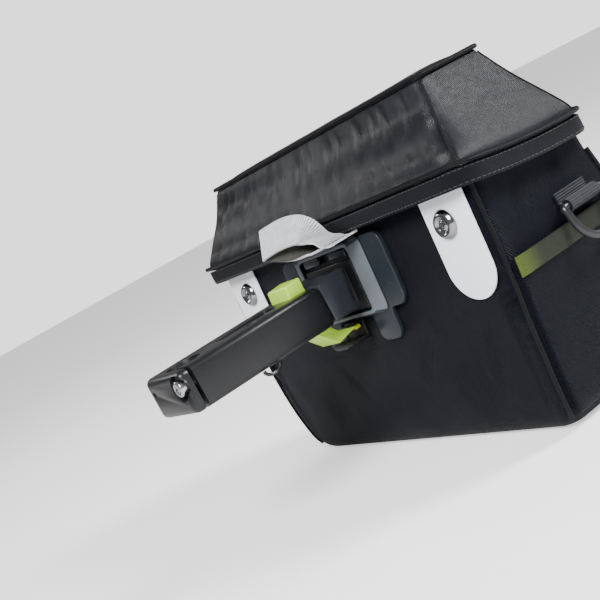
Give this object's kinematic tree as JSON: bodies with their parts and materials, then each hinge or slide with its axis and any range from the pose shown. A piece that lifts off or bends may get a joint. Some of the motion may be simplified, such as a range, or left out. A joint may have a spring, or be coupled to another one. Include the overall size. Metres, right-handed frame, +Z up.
{
  "type": "bicycle stem bag",
  "caption": "Black cloth bag with a hipped lid, hanging from a plastic arm that clamps round a bicycle stem; lime release slider, D-rings.",
  "frame": {"origin": "middle of the bag's flat base", "axes": "+Z up along the stem, +Y forward in the direction of travel, +X to the rider's right"},
  "size_m": [0.3276, 0.2447, 0.215],
  "materials": {
    "nylon": "black ripstop nylon, slight sheen",
    "lid_nylon": "black coated nylon, slight sheen",
    "binding": "black binding tape and piping",
    "green_web": "olive band with a lime end",
    "dark_web": "dark grey ribbed webbing",
    "white_web": "off-white ribbed webbing",
    "white_plastic": "satin white, reflective",
    "slate_plastic": "slate grey, satin",
    "black_plastic": "black, satin",
    "arm_black": "black, soft satin",
    "steel_black": "black, slightly worn",
    "lime_plastic": "lime green, slightly translucent",
    "olive_plastic": "yellow-olive",
    "chrome": "polished"
  },
  "bodies": {
    "bag": {"bag_body": "nylon", "side_pocket_right": "nylon", "side_pocket_left": "nylon", "lid_shell": "lid_nylon", "lid_hem": "binding", "hem_piping": "binding", "lid_top_piping": "binding", "corner_piping_front_right": "binding", "corner_piping_front_left": "binding", "corner_piping_back_left": "binding", "corner_piping_back_right": "binding", "pocket_band_right": "green_web", "pocket_band_left": "green_web", "ring_loop_right": "dark_web", "ring_loop_left": "dark_web", "pull_strap": "white_web", "tab_right": "white_plastic", "tab_left": "white_plastic", "mount_plate": "slate_plastic", "socket_frame": "slate_plastic", "socket_catch_right": "slate_plastic", "socket_catch_left": "slate_plastic", "adapter_head": "slate_plastic", "socket_lip": "black_plastic", "stem_arm": "arm_black", "cable_eye": "arm_black", "stud_right": "chrome", "stud_left": "chrome", "clamp_bolt": "chrome"},
    "release": {"release_button": "lime_plastic", "lock_stem": "lime_plastic", "lock_hook": "lime_plastic", "lock_tongue": "olive_plastic"},
    "ring_right": {"d_ring_right": "steel_black"},
    "ring_left": {"d_ring_left": "steel_black"}
  },
  "joints": [
    {"name": "release_slide", "type": "slide", "parent": "bag", "child": "release", "axis": [0, 0, -1], "range_m": [0, 0.004], "stiffness_N_per_m": 300, "springref_m": -0.003},
    {"name": "ring_right_swing", "type": "hinge", "parent": "bag", "child": "ring_right", "pos_m": [0.1554, 0.018, 0.111], "axis": [0, -1, 0], "range_deg": [0, 150]},
    {"name": "ring_left_swing", "type": "hinge", "parent": "bag", "child": "ring_left", "pos_m": [-0.1554, 0.018, 0.111], "axis": [0, 1, 0], "range_deg": [0, 150]}
  ]
}
